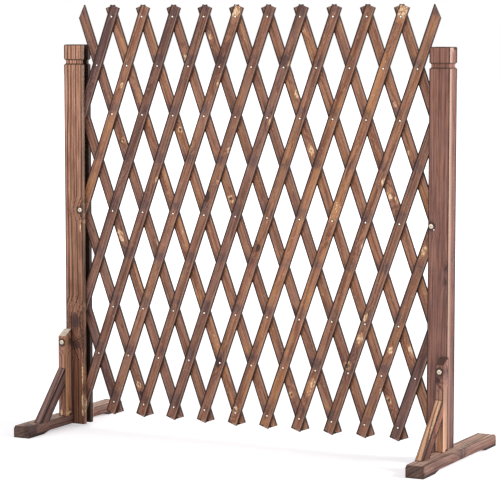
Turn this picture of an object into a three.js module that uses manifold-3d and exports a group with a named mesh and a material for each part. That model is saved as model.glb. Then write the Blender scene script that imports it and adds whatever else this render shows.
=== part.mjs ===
// Expandable wooden fence: a riveted scissor lattice hung between two grooved posts on braced feet.
// Millimetres. +X runs along the fence, -Y is its front and +Z is up. The origin is on the floor, midway
// between the posts.
import * as THREE from "three";
import { mergeVertices } from "three/addons/utils/BufferGeometryUtils.js";
import Module from "manifold-3d";

const wasm = await Module();
wasm.setup();

// Lattice: slats, and where the rivets are
const slatWidth = 26;
const slatThickness = 7;
const pinSpacing = 129; // between crossings along a slat
const restLean = THREE.MathUtils.degToRad(19.75); // a slat's lean from upright as the fence stands here
const columns = 11; // pitches from one post bolt to the other
const rows = 8; // rises from the top crossings to the bottom ones
const boltRow = 4; // counted down from the top
const topOverhang = 27; // past the last crossing at a free end
const bottomOverhang = 30;
const groovedOverhang = 12; // past the last crossing at an end inside a post
const boltHeight = 554; // of the lattice bolts over the floor

// Rivets
const rivetRadius = 1.5;
const rivetHeadRadius = 2.75;
const rivetHeadHeight = 1.4;
const rivetTailRadius = 2.6;
const rivetTailHeight = 1.2;

// Posts
const webThickness = 17; // solid part of a post, outside its groove
const flangeThickness = 12;
const lipReach = 8; // the flanges' reach past the lattice bolt
const grooveRoom = 9; // between the turning slat ends and the web
const headRoom = 0.85; // between the rivets and the flanges
const postTop = 970;
const capEase = 2; // chamfer round the post's top
const ringDrop = 36; // from the post's top to its ring groove
const ringHeight = 15;
const ringDepth = 3.5;
const ringSlope = 4; // rise of each sloping side of the ring groove

// Feet
const footLength = 450;
const footHeight = 29;
const footOverhang = 28; // past the post's outer face
const footPad = 68; // length of each pad that rests on the floor
const footRamp = 26; // from a pad up to the relief between the pads
const leftFootRamp = 28; // the left foot is sawn a little flatter there
const footRelief = 6;
const footBevel = 7;

// Uprights and braces
const uprightDepth = 32;
const uprightProud = 3.5; // past the post's outer face
const uprightHeight = 220;
const uprightBevel = 15;
const uprightFlat = 5; // level part of the bevelled top
const uprightBoltDrop = 31;
const braceThickness = 30;
const braceRise = 124; // up the upright's front
const braceInset = 53; // from the foot's front end to the brace's toe

// Furniture bolts and their sleeve nuts
const boltRadius = 3;
const boltHeadRadius = 6;
const boltHeadHeight = 2.2;
const boltHeadEdge = 0.7; // of the head's rim, under its crown
const socketRadius = 2;
const socketDepth = 2.5;
const nutRadius = 4.2;
const nutLength = 9;

// Screws and the nail
const screwRadius = 2;
const screwHeadRadius = 4;
const screwHeadHeight = 2.4;
const screwPoint = 5;
const longScrew = 50;
const shortScrew = 36;
const nailRadius = 0.9;
const nailHeadRadius = 1.9;
const nailHeadHeight = 0.9;
const nailLength = 10;
const nailAside = 7; // from the lattice bolt, outward
const nailBelow = 8;

// Fits
const seatGap = 0.3; // between pieces that lie against each other
const holeGap = 0.3; // round a rivet, bolt, nut, nail or screw in its hole
const overrun = 2; // of a cut past the face it starts from
const weld = 1e-4; // vertices closer than this are one

const turnedSides = 8;
const rivetSides = 6;
const boltSides = 16;
const socketSides = 6;

const crownShare = 0.6; // of a head's radius that is its flat crown
const braceScrewShare = 0.62; // along the brace's foot, from its toe
const postScrewShare = 0.5; // across the web
const middleShare = 0.5;

// Sizes that follow
const halfPitch = pinSpacing * Math.sin(restLean);
const rise = pinSpacing * Math.cos(restLean);
const latticeHalfWidth = columns * halfPitch;
const layerFront = -seatGap / 2 - slatThickness; // front face of the front slats
const layerBack = -layerFront; // back face of the rear slats
const grooveHalf = layerBack + seatGap + rivetTailHeight + headRoom;
const postHalfDepth = grooveHalf + flangeThickness;
const webReach = Math.hypot(groovedOverhang, slatWidth / 2) + grooveRoom; // bolt to the groove's floor
const postReach = webReach + webThickness; // bolt to the post's outer face
const uprightOuter = postReach + uprightProud;
const uprightMiddle = (uprightOuter + webReach) / 2;
const uprightBack = -postHalfDepth - seatGap;
const uprightFront = uprightBack - uprightDepth;
const uprightTop = footHeight + seatGap + uprightHeight;

// Every crossing is riveted but those of the rows next to the bolts'.
const isRiveted = (row) => Math.abs(row - boltRow) !== 1;
const latticeRows = Array.from({ length: rows + 1 }, (_, row) => row);

const pinX = (column) => (2 * column - columns) * halfPitch;
const pinZ = (row) => boltHeight + (boltRow - row) * rise;

// A closed mesh as a solid with its faces outward, whichever way round its outline was drawn.
function solid(geometry) {
  const bare = geometry.index ? geometry.toNonIndexed() : geometry.clone();
  bare.deleteAttribute("normal");
  bare.deleteAttribute("uv");
  const merged = mergeVertices(bare, weld);
  const vertProperties = merged.attributes.position.array;
  const index = merged.index.array;
  const kept = [];
  for (let i = 0; i < index.length; i += 3) {
    const [a, b, c] = index.slice(i, i + 3);
    if (a !== b && b !== c && c !== a) kept.push([a, b, c]);
  }
  const make = (triangles) => {
    const triVerts = new Uint32Array(triangles.flat());
    return new wasm.Manifold(new wasm.Mesh({ numProp: 3, vertProperties, triVerts }));
  };
  const made = make(kept);
  return made.volume() < 0 ? make(kept.map((corners) => corners.reverse())) : made;
}

// An outline swept along one axis. Its points are (y, z) along X, (x, z) along Y and (x, y) along Z.
function prism(points, axis, from, to) {
  const shape = new THREE.Shape(points.map(([a, b]) => new THREE.Vector2(a, b)));
  const geometry = new THREE.ExtrudeGeometry(shape, { depth: to - from, bevelEnabled: false });
  const [x, y, z] = [new THREE.Vector3(1, 0, 0), new THREE.Vector3(0, 1, 0), new THREE.Vector3(0, 0, 1)];
  geometry.translate(0, 0, axis === "y" ? -to : from);
  if (axis === "x") geometry.applyMatrix4(new THREE.Matrix4().makeBasis(y, z, x));
  if (axis === "y") geometry.applyMatrix4(new THREE.Matrix4().makeBasis(x, z, y.negate()));
  return solid(geometry);
}

const box = ([x0, y0, z0], [x1, y1, z1]) =>
  prism([[x0, y0], [x1, y0], [x1, y1], [x0, y1]], "z", z0, z1);

// A profile of (radius, place) turned about an axis through a point: along +Y, or along +Z or -Y.
function turned(profile, sides, axis, [x, y, z]) {
  const geometry = new THREE.LatheGeometry(profile.map(([r, h]) => new THREE.Vector2(r, h)), sides);
  if (axis === "z") geometry.rotateX(Math.PI / 2);
  if (axis === "-y") geometry.rotateX(Math.PI);
  return solid(geometry.translate(x, y, z));
}

// A round cut whose flats clear what goes in it.
const holeRadius = (radius, sides) => (radius + holeGap) / Math.cos(Math.PI / sides);
const hole = (radius, sides, axis, place, from, to) =>
  turned([[0, from], [holeRadius(radius, sides), from], [holeRadius(radius, sides), to], [0, to]],
    sides, axis, place);

const cut = (body, cutters) => cutters.reduce((left, cutter) => left.subtract(cutter), body);
const join = (body, others) => others.reduce((sum, other) => sum.add(other), body);

// A solid as a named mesh with a finish of its own.
function piece(name, body, finish) {
  const made = body.getMesh();
  const geometry = new THREE.BufferGeometry();
  geometry.setAttribute("position", new THREE.BufferAttribute(made.vertProperties, made.numProp));
  geometry.setIndex(new THREE.BufferAttribute(made.triVerts, 1));
  geometry.computeVertexNormals();
  const mesh = new THREE.Mesh(geometry, new THREE.MeshStandardMaterial(finish));
  mesh.name = name;
  return mesh;
}

const slatWood = { color: 0x8c5f4b, roughness: 0.72, metalness: 0 };
const postWood = { color: 0xa06a4c, roughness: 0.7, metalness: 0 };
const standWood = { color: 0x96664a, roughness: 0.74, metalness: 0 };
const steel = { color: 0xc9c6c0, roughness: 0.35, metalness: 1 };

// A rivet: its crown and skirt are on the front slat, its shank goes on through the rear slat, and its tail
// is clenched behind. The skirt is sunk in the slat, so head and slat are one.
const rivet = (z) =>
  turned(
    [
      [0, layerFront - rivetHeadHeight],
      [rivetHeadRadius * crownShare, layerFront - rivetHeadHeight],
      [rivetHeadRadius, layerFront],
      [rivetHeadRadius, layerFront + slatThickness / 2],
      [rivetRadius, layerFront + slatThickness / 2],
      [rivetRadius, layerBack + seatGap],
      [rivetTailRadius, layerBack + seatGap],
      [rivetTailRadius, layerBack + seatGap + rivetTailHeight],
      [0, layerBack + seatGap + rivetTailHeight],
    ],
    rivetSides, "y", [0, 0, z],
  );

// How far a slat's left and right edges run past its last crossing: square at a free end, mitred on the
// outer side where the free end comes down inside a post, and short where a post holds it.
function endReach(column, row) {
  const free = row === 0 || row === rows;
  if (!free) return [groovedOverhang, groovedOverhang];
  const overhang = row === 0 ? topOverhang : bottomOverhang;
  const mitred = overhang - slatWidth;
  return [column === 0 ? mitred : overhang, column === columns ? mitred : overhang];
}

// One slat, drawn upright with its first crossing at the origin and then leaned over. way is -1 for a front
// slat, which runs down to the left, and +1 for a rear slat, which runs down to the right.
function slat(name, firstColumn, way) {
  const topRow = Math.max(0, way < 0 ? 2 * (firstColumn - columns) : -2 * firstColumn);
  const bottomRow = Math.min(rows, way < 0 ? 2 * firstColumn : 2 * (columns - firstColumn));
  const columnAt = (row) => firstColumn + (way * row) / 2;
  const placeOf = (row) => (topRow - row) * pinSpacing;
  const [topLeft, topRight] = endReach(columnAt(topRow), topRow);
  const [bottomLeft, bottomRight] = endReach(columnAt(bottomRow), bottomRow);
  const half = slatWidth / 2;
  const foot = placeOf(bottomRow);
  const outline = [
    [-half, topLeft], [half, topRight], [half, foot - bottomRight], [-half, foot - bottomLeft],
  ];
  const from = way < 0 ? layerFront : layerBack - slatThickness;
  const to = from + slatThickness;
  const crossed = (row) => {
    const other = columnAt(row) + (way * row) / 2; // first column of the slat that crosses here
    return way < 0 ? other > -rows / 2 && other < columns : other > 0 && other < columns + rows / 2;
  };
  const bolted = (row) => row === boltRow && (columnAt(row) === 0 || columnAt(row) === columns);
  const own = latticeRows.filter((row) => row >= topRow && row <= bottomRow);
  const pins = own.filter((row) => isRiveted(row) && crossed(row) && !bolted(row));
  const bolts = own.filter(bolted);
  let body = prism(outline, "y", from, to);
  if (way < 0) body = join(body, pins.map((row) => rivet(placeOf(row))));
  else
    body = cut(body, pins.map((row) =>
      hole(rivetRadius, turnedSides, "y", [0, 0, placeOf(row)], from - overrun, to + overrun)));
  body = cut(body, bolts.map((row) =>
    hole(boltRadius, boltSides, "y", [0, 0, placeOf(row)], from - overrun, to + overrun)));
  const mesh = piece(name, body, slatWood);
  mesh.position.set(pinX(columnAt(topRow)), 0, pinZ(topRow));
  mesh.rotation.y = -way * restLean;
  return mesh;
}

// A furniture bolt with a low crowned head and a socket, pointing to the back.
function furnitureBolt(x, z, face, length) {
  const head = face - seatGap;
  const blank = turned(
    [
      [0, head - boltHeadHeight],
      [boltHeadRadius * crownShare, head - boltHeadHeight],
      [boltHeadRadius, head - boltHeadEdge],
      [boltHeadRadius, head],
      [boltRadius, head],
      [boltRadius, face + length],
      [0, face + length],
    ],
    boltSides, "y", [x, 0, z],
  );
  const top = head - boltHeadHeight;
  return cut(blank, [socket(x, z, top - overrun, top + socketDepth)]);
}

const socket = (x, z, from, to) =>
  turned([[0, from], [socketRadius, from], [socketRadius, to], [0, to]], socketSides, "y", [x, 0, z]);

// Its nut: a flanged sleeve sunk in the wood, bored from the front to take the bolt's end.
function sleeveNut(x, z, face) {
  const flange = face + seatGap;
  const blank = turned(
    [
      [0, face - nutLength],
      [nutRadius, face - nutLength],
      [nutRadius, flange],
      [boltHeadRadius, flange],
      [boltHeadRadius, flange + boltHeadEdge],
      [boltHeadRadius * crownShare, flange + boltHeadHeight],
      [0, flange + boltHeadHeight],
    ],
    boltSides, "y", [x, 0, z],
  );
  return cut(blank, [hole(boltRadius, boltSides, "y", [x, 0, z], face - nutLength - overrun, face)]);
}

// A countersunk screw, and the hole that it fits, from its head's face along its axis.
const screw = (length, axis, place) =>
  turned(
    [
      [0, 0], [screwHeadRadius, 0], [screwRadius, screwHeadHeight], [screwRadius, length - screwPoint],
      [0, length],
    ],
    turnedSides, axis, place,
  );
function screwHole(length, axis, place) {
  const head = holeRadius(screwHeadRadius, turnedSides);
  const shank = holeRadius(screwRadius, turnedSides);
  const profile = [
    [0, -overrun], [head, -overrun], [head, holeGap], [shank, screwHeadHeight + holeGap],
    [shank, length + holeGap], [0, length + holeGap],
  ];
  return turned(profile, turnedSides, axis, place);
}

// One stand, drawn round its lattice bolt. side is -1 for the left stand and +1 for the right one, and
// lengths outward from the bolt are times side.
function stand(name, side) {
  const group = new THREE.Group();
  group.position.x = side * latticeHalfWidth;
  const add = (part, body, finish) => group.add(piece(`${name}_${part}`, body, finish));
  const out = (reach) => side * reach;
  const span = (a, b) => [Math.min(out(a), out(b)), Math.max(out(a), out(b))];

  const boltX = 0;
  const uprightX = out(uprightMiddle);
  const uprightBoltZ = uprightTop - uprightBoltDrop;
  const postScrewX = out(postReach - webThickness * postScrewShare);
  const uprightMid = uprightBack - uprightDepth * middleShare;
  const braceBack = uprightFront - seatGap;
  const braceToe = braceInset - footLength / 2;
  const lean = Math.atan2(braceBack - braceToe, braceRise);
  const braceFoot = footHeight + seatGap;
  const topCut = braceThickness / Math.sin(lean);
  const footCut = braceThickness / Math.cos(lean);
  const braceTop = braceFoot + braceRise;
  const postScrewPlace = [postScrewX, 0, footRelief];
  const uprightScrewPlace = [uprightX, uprightMid, footRelief];
  const braceFootPlace = [uprightX, braceToe + footCut * braceScrewShare, footRelief];
  const braceTopPlace = [uprightX, uprightBack, braceTop - topCut * middleShare];
  const postFloor = footHeight + seatGap;

  // The post: a U of solid timber, its ring groove, and the notch that sits over the foot
  const section = [
    [out(postReach), -postHalfDepth], [out(postReach), postHalfDepth],
    [out(-lipReach), postHalfDepth], [out(-lipReach), grooveHalf],
    [out(webReach), grooveHalf], [out(webReach), -grooveHalf],
    [out(-lipReach), -grooveHalf], [out(-lipReach), -postHalfDepth],
  ];
  const [notchLow, notchHigh] = span(webReach - seatGap, postReach + overrun);
  const notch = box(
    [notchLow, -postHalfDepth - overrun, footRelief - overrun],
    [notchHigh, postHalfDepth + overrun, postFloor],
  );
  const post = cut(prism(section, "z", footRelief, postTop), [
    notch,
    ...cutAllRound(out, ringGroove),
    ...cutAllRound(out, topChamfer),
    hole(boltRadius, boltSides, "y", [boltX, 0, boltHeight], -postHalfDepth - overrun,
      postHalfDepth + overrun),
    hole(nutRadius, boltSides, "y", [boltX, 0, boltHeight], postHalfDepth - nutLength - holeGap,
      postHalfDepth + overrun),
    hole(boltRadius, boltSides, "y", [uprightX, 0, uprightBoltZ], -postHalfDepth - overrun,
      postHalfDepth + overrun),
    hole(nutRadius, boltSides, "y", [uprightX, 0, uprightBoltZ], postHalfDepth - nutLength - holeGap,
      postHalfDepth + overrun),
    screwHole(longScrew, "z", postScrewPlace),
    ...(side > 0 ? [nailHole(out)] : []),
  ]);
  add("post", post, postWood);

  // The foot: a bar across the fence, relieved underneath, with its top ends bevelled
  const half = footLength / 2;
  const ramp = half - footPad - (side < 0 ? leftFootRamp : footRamp);
  const footOutline = [
    [-half, 0], [footPad - half, 0], [-ramp, footRelief], [ramp, footRelief], [half - footPad, 0], [half, 0],
    [half, footHeight - footBevel], [half - footBevel, footHeight],
    [footBevel - half, footHeight], [-half, footHeight - footBevel],
  ];
  const foot = cut(prism(footOutline, "x", ...span(webReach, postReach + footOverhang)), [
    screwHole(longScrew, "z", postScrewPlace),
    screwHole(longScrew, "z", uprightScrewPlace),
    screwHole(shortScrew, "z", braceFootPlace),
  ]);
  add("foot", foot, standWood);

  // The upright: a block against the post's front, its top bevelled down to the front
  const uprightOutline = [
    [uprightBack, postFloor], [uprightBack, uprightTop], [uprightBack - uprightFlat, uprightTop],
    [uprightFront, uprightTop - uprightBevel], [uprightFront, postFloor],
  ];
  const upright = cut(prism(uprightOutline, "x", ...span(webReach, uprightOuter)), [
    hole(boltRadius, boltSides, "y", [uprightX, 0, uprightBoltZ], uprightFront - overrun,
      uprightBack + overrun),
    screwHole(longScrew, "z", uprightScrewPlace),
    screwHole(longScrew, "-y", braceTopPlace),
  ]);
  add("upright", upright, standWood);

  // The brace: a slanted strut, cut upright where it meets the upright and level where it meets the foot
  const braceOutline = [
    [braceBack, braceTop], [braceBack, braceTop - topCut], [braceToe + footCut, braceFoot],
    [braceToe, braceFoot],
  ];
  const brace = cut(prism(braceOutline, "x", ...span(webReach, uprightOuter)), [
    screwHole(shortScrew, "z", braceFootPlace),
    screwHole(longScrew, "-y", braceTopPlace),
  ]);
  add("brace", brace, standWood);

  // Bolts, nuts and screws
  const boltEnd = postHalfDepth - seatGap; // where a bolt stops inside its nut
  add("lattice_bolt", furnitureBolt(boltX, boltHeight, -postHalfDepth, postHalfDepth + boltEnd), steel);
  add("lattice_nut", sleeveNut(boltX, boltHeight, postHalfDepth), steel);
  add("upright_bolt", furnitureBolt(uprightX, uprightBoltZ, uprightFront, boltEnd - uprightFront), steel);
  add("upright_nut", sleeveNut(uprightX, uprightBoltZ, postHalfDepth), steel);
  add("post_screw", screw(longScrew, "z", postScrewPlace), steel);
  add("upright_screw", screw(longScrew, "z", uprightScrewPlace), steel);
  add("brace_foot_screw", screw(shortScrew, "z", braceFootPlace), steel);
  add("brace_top_screw", screw(longScrew, "-y", braceTopPlace), steel);
  if (side > 0) add("post_nail", nail(out), steel);
  return group;
}

// The profiles that are cut all round a post, drawn on one of its faces, which looks away from inward.
function ringGroove(face, inward) {
  const top = postTop - ringDrop;
  const bottom = top - ringHeight;
  return [
    [face - inward * overrun, top], [face, top], [face + inward * ringDepth, top - ringSlope],
    [face + inward * ringDepth, bottom + ringSlope], [face, bottom], [face - inward * overrun, bottom],
  ];
}

function topChamfer(face, inward) {
  const above = postTop + overrun;
  return [
    [face - inward * overrun, postTop - capEase - overrun],
    [face + inward * (capEase + overrun), above], [face - inward * overrun, above],
  ];
}

function cutAllRound(out, profile) {
  const ends = [-postHalfDepth - overrun, postHalfDepth + overrun];
  const low = Math.min(out(postReach), out(-lipReach)) - overrun;
  const high = Math.max(out(postReach), out(-lipReach)) + overrun;
  return [
    prism(profile(-postHalfDepth, 1), "x", low, high),
    prism(profile(postHalfDepth, -1), "x", low, high),
    prism(profile(out(postReach), -out(1)), "y", ...ends),
    prism(profile(out(-lipReach), out(1)), "y", ...ends),
  ];
}

// The nail beside the right lattice bolt, and its hole in the front flange.
const nailPlace = (out) => [out(nailAside), -postHalfDepth, boltHeight - nailBelow];
const nail = (out) =>
  turned(
    [
      [0, -seatGap - nailHeadHeight], [nailHeadRadius * crownShare, -seatGap - nailHeadHeight],
      [nailHeadRadius, -seatGap], [nailRadius, -seatGap], [nailRadius, nailLength], [0, nailLength],
    ],
    turnedSides, "y", nailPlace(out),
  );
const nailHole = (out) => hole(nailRadius, turnedSides, "y", nailPlace(out), -overrun, nailLength + holeGap);

const fence = new THREE.Group();
fence.add(stand("left", -1), stand("right", 1));

const slatCount = columns + rows / 2 - 1; // in each layer
for (let n = 1; n <= slatCount; n++) {
  const number = String(n).padStart(2, "0");
  fence.add(slat(`front_slat_${number}`, n, -1));
  fence.add(slat(`rear_slat_${number}`, n - rows / 2, 1));
}

export default fence;
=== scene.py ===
import math

import bmesh
import bpy
from mathutils import Matrix, Vector


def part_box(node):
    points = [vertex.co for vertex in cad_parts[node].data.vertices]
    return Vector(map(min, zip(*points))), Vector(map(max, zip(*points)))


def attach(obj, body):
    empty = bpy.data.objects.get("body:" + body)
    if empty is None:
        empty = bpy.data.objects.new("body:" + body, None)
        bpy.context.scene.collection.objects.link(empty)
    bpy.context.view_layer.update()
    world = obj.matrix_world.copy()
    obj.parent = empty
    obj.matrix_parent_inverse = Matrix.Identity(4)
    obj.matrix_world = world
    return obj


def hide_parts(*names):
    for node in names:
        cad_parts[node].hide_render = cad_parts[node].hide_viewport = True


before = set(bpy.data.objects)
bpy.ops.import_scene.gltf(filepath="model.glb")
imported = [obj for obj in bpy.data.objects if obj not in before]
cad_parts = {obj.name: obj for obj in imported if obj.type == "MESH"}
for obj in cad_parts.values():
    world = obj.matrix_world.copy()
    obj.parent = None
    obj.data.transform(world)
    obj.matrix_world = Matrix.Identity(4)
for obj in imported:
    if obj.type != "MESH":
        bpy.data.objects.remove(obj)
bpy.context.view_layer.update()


# The feet. Each is a bar of scorched softwood that lies across the fence, with a shallow relief under its
# middle, so that it stands on two pads, and with its top ends bevelled. The post, the upright and the brace
# are screwed to it from below.
foot_early_wood = "DCBBA9"  # pale bands, grown in spring
foot_late_wood = "553A31"  # dark bands, burnt darkest by the flame
foot_end_grain = "4E3A33"
foot_ease = 0.0015  # how far its arrises are rounded


def paint(seen):
    """A colour as the eye sees it, in the linear values that Blender works in."""
    shares = [int(seen[i : i + 2], 16) / 255 for i in (0, 2, 4)]
    return [s / 12.92 if s < 0.04045 else ((s + 0.055) / 1.055) ** 2.4 for s in shares] + [1]


def put(tree, kind, feeds, **settings):
    """Places one node with its settings, and a value or another node's output for each input named."""
    node = tree.nodes.new("ShaderNode" + kind)
    for setting, value in settings.items():
        setattr(node, setting, value)
    for socket, value in feeds.items():
        if isinstance(value, bpy.types.NodeSocket):
            tree.links.new(value, node.inputs[socket])
        else:
            node.inputs[socket].default_value = value
    return node.outputs


def calc(tree, operation, *values):
    """One step of arithmetic on numbers or other nodes' outputs."""
    return put(tree, "Math", dict(enumerate(values)), operation=operation)[0]


def times(tree, product, *others):
    """Several values multiplied together."""
    for other in others:
        product = calc(tree, "MULTIPLY", product, other)
    return product


def fade(tree, value, start, end):
    """0 at start and 1 at end, with a soft step between."""
    feeds = {"Value": value, "From Min": start, "From Max": end}
    return put(tree, "MapRange", feeds, interpolation_type="SMOOTHSTEP")["Result"]


def distance(tree, x, y):
    """How far a point lies from the middle, by its two places."""
    return calc(tree, "SQRT", calc(tree, "MULTIPLY_ADD", x, x, times(tree, y, y)))


def tint(tree, share, under, over, blend="MIX"):
    """One colour laid over another by a share from 0 to 1."""
    feeds = {0: share, 6: under, 7: over}
    return put(tree, "Mix", feeds, data_type="RGBA", blend_type=blend, clamp_factor=True)[2]


def noise(tree, place, stretch, board, detail=2.0):
    """Noise in a timber's own place, stretched differently across, through and along it. Each board's number
    takes it to a part of the noise that no other board shows."""
    board_step = 9.7
    stretched = put(tree, "VectorMath", {0: place, 1: stretch}, operation="MULTIPLY")[0]
    feeds = {"Vector": stretched, "W": times(tree, board, board_step), "Scale": 1.0, "Detail": detail}
    return put(tree, "TexNoise", feeds, noise_dimensions="4D")[0]


def effect(name, takes, gives):
    """An empty node group with its named inputs and outputs."""
    tree = bpy.data.node_groups.new(name, "ShaderNodeTree")
    for way, sockets in (("INPUT", takes), ("OUTPUT", gives)):
        for label, kind in sockets.items():
            tree.interface.new_socket(name=label, in_out=way, socket_type="NodeSocket" + kind)
    return tree, tree.nodes.new("NodeGroupInput").outputs, tree.nodes.new("NodeGroupOutput").inputs


def growth_rings():
    """The yearly rings that a saw laid bare, wandering along the timber, and the fine fibre between them."""
    patterns = (  # how quickly each changes across, through and along the timber, and its levels of detail
        ("Fibre", (600, 600, 11), 3),
        ("Streak", (260, 260, 13), 3),
        ("Blotch", (60, 60, 22), 4),
        ("Speck", (330, 330, 130), 1),
    )
    glow_stretch, glow_detail = (45, 45, 13), 3
    wander_stretch = (16, 16, 1.7)
    pith_chance = (0.09, 0.06, 0.0)  # how far the log's heart may lie from the place given
    year_likeness, year_unevenness = 0.6, 1.4  # how alike one year is to the next, and how far they vary
    late_starts, late_full, late_breaks = 0.2, 0.86, 0.9  # the share of a year at which the wood darkens
    inputs = {"Place": "Vector", "Pith": "Vector", "Board": "Float", "Ring Width": "Float", "Wander": "Float",
              "Bend": "Float"}
    outputs = {label: "Float" for label in ("Late Wood", "Fibre", "Streak", "Blotch", "Glow", "Speck")}
    tree, given, out = effect("growth_rings", inputs, outputs)
    place, board = given["Place"], given["Board"]
    any_log = put(tree, "TexWhiteNoise", {"W": board}, noise_dimensions="1D")["Color"]
    feeds = {0: any_log, 1: pith_chance, 2: given["Pith"]}
    pith = put(tree, "VectorMath", feeds, operation="MULTIPLY_ADD")[0]
    from_pith = put(tree, "VectorMath", {0: place, 1: pith}, operation="SUBTRACT")[0]
    across, through, _ = put(tree, "SeparateXYZ", {0: from_pith})
    radius = calc(tree, "ADD", distance(tree, across, through), given["Bend"])
    drift = calc(tree, "SUBTRACT", noise(tree, place, wander_stretch, board), 0.5)
    strayed = calc(tree, "MULTIPLY_ADD", drift, given["Wander"], radius)
    ring = calc(tree, "DIVIDE", strayed, given["Ring Width"])
    uneven = put(tree, "TexNoise", {"W": times(tree, ring, year_likeness)}, noise_dimensions="1D")[0]
    year = calc(tree, "FRACT", calc(tree, "MULTIPLY_ADD", uneven, year_unevenness, ring))
    late = times(tree, fade(tree, year, late_starts, late_full), fade(tree, year, 1.0, late_breaks))
    tree.links.new(late, out["Late Wood"])
    for label, stretch, detail in patterns:
        tree.links.new(noise(tree, place, stretch, board, detail), out[label])
    between_boards = calc(tree, "ADD", board, 0.5)
    tree.links.new(noise(tree, place, glow_stretch, between_boards, glow_detail), out["Glow"])
    return tree


def arrises():
    """How far a point lies from its timber's nearest long edge or end, whether it is on a sawn side, and
    whether it is on the left half."""
    on_side, off_side = 0.0002, 0.0006  # how far under the side's plane
    fully_left = -0.001
    outputs = {"Distance": "Float", "Side": "Float", "Left": "Float"}
    tree, given, out = effect("arrises", {"Place": "Vector", "Half Size": "Vector"}, outputs)
    from_middle = put(tree, "VectorMath", {0: given["Place"]}, operation="ABSOLUTE")[0]
    inside = put(tree, "VectorMath", {0: given["Half Size"], 1: from_middle}, operation="SUBTRACT")[0]
    x, y, z = put(tree, "SeparateXYZ", {0: inside})
    from_end = calc(tree, "MINIMUM", calc(tree, "MAXIMUM", x, y), z)
    tree.links.new(calc(tree, "MAXIMUM", calc(tree, "MINIMUM", x, y), from_end), out["Distance"])
    tree.links.new(fade(tree, x, off_side, on_side), out["Side"])
    across = put(tree, "SeparateXYZ", {0: given["Place"]})[0]
    tree.links.new(fade(tree, across, 0.0, fully_left), out["Left"])
    return tree


def marks():
    """One knot, fleck, streak, smoke stain or painted shadow at its own place on a timber. A mark is its
    place across, its place along and its size. Its kind is how much longer it is than wide, how dark its
    heart is,
    and its tone: golden at 0, cream at 1, and darkened the further it is under 0. The rings bend round it."""
    rim_ends, rim_full, heart_ends, heart_full = 1.1, 0.6, 0.5, 0.22  # all in sizes of the mark
    bend_ends, bend_full, bend_most = 3.0, 0.6, 0.9
    raggedness, rag_stretch = 1.3, (420, 420, 170)
    inputs = {"Place": "Vector", "Mark": "Vector", "Kind": "Vector", "Board": "Float"}
    outputs = {"Gold": "Float", "Cream": "Float", "Dark": "Float", "Bend": "Float"}
    tree, given, out = effect("marks", inputs, outputs)
    at_x, _, at_z = put(tree, "SeparateXYZ", {0: given["Place"]})
    middle_x, middle_z, size = put(tree, "SeparateXYZ", {0: given["Mark"]})
    length, heart, tone = put(tree, "SeparateXYZ", {0: given["Kind"]})
    across = calc(tree, "SUBTRACT", at_x, middle_x)
    along = calc(tree, "DIVIDE", calc(tree, "SUBTRACT", at_z, middle_z), length)
    broken = noise(tree, given["Place"], rag_stretch, given["Board"])
    ragged = calc(tree, "MULTIPLY_ADD", broken, raggedness, -raggedness / 2)
    reach = calc(tree, "ADD", calc(tree, "DIVIDE", distance(tree, across, along), size), ragged)
    whole = fade(tree, reach, rim_ends, rim_full)
    core = times(tree, fade(tree, reach, heart_ends, heart_full), heart)
    stained = calc(tree, "MAXIMUM", times(tree, tone, -1.0), 0.0)
    tree.links.new(times(tree, whole, calc(tree, "GREATER_THAN", tone, -0.001)), out["Gold"])
    tree.links.new(times(tree, whole, tone), out["Cream"])
    tree.links.new(calc(tree, "MAXIMUM", core, times(tree, whole, stained)), out["Dark"])
    tree.links.new(times(tree, fade(tree, reach, bend_ends, bend_full), size, bend_most), out["Bend"])
    return tree


rings_effect, arris_effect, mark_effect = growth_rings(), arrises(), marks()
marks_on_a_timber = 6
mark_kinds = {  # how much longer than wide, how dark at heart, and the tone
    "knot": (1.3, 1.0, 0.5),  # round, with a pale rim
    "fleck": (2.0, 0.0, 0.54),  # wood that the brush tore out
    "worn": (2.0, 0.0, 0.43),  # a rubbed patch
    "streak": (9.0, 0.0, 0.32),  # a golden run along the grain
    "ray": (9.0, 0.0, 0.56),  # a pale line along the grain
    "swirl": (2.6, 1.0, -0.35),  # a knot that took the flame
    "burl": (1.2, 1.0, -0.85),  # a big burnt knot
    "smoke": (1.6, 0.0, -1.0),  # a sooty patch
    "painted_bolt_shadow": (1.0, 0.0, -1.0),  # a painted shadow round a bolt's head
    "shade": (7.0, 0.0, -0.6),  # a long burnt stretch
    "dusk": (7.0, 0.0, -0.4),  # the same, fainter
}

# What the flame and the brush leave on the timbers, and the light and shade painted on them. A shade
# darkens whatever wood is under it.
glow_colour = "C08A5C"
streak_shade, fibre_shade, side_shade, end_ring_shade = "B89A90", "C4ABA0", "9A7C78", "9A7862"
bright_speck, sooty_speck = "DCAE84", "4A2D26"
golden_wood, bare_wood, knot_heart = "C88E60", "F5D3AE", "3A2424"
# The first colour below is the highlight painted along the slats' right edges.
edge_highlight, char_black = "D2A591", "2A1A17"
fibre_share, gold_share, heart_share, end_share = 0.25, 0.6, 0.9, 0.85  # how strongly each one shows
# The first three below: the painted shade above the slats' crossings, the painted shadow round their rivets,
# and the highlight painted along their right edges.
crossing_shade_share, rivet_shadow_share, edge_highlight_share, thin_line_share = 0.7, 0.7, 0.35, 0.8
# How black the posts' grooves are painted, as char and painted shade, and how black the slats' sawn sides
# are.
groove_char_and_shade, slat_side_char = 0.93, 0.92
torn_level, torn_sharpness = 0.98, 9.0
side_pull = 0.65  # how much nearer its edge a point on a side counts, so that sides are charred further in
wood_gloss, least_roughness, fibre_roughness = 0.25, 0.5, 0.3
fibre_relief = 0.0005  # how far the brush cut out the soft wood between the rings


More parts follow.
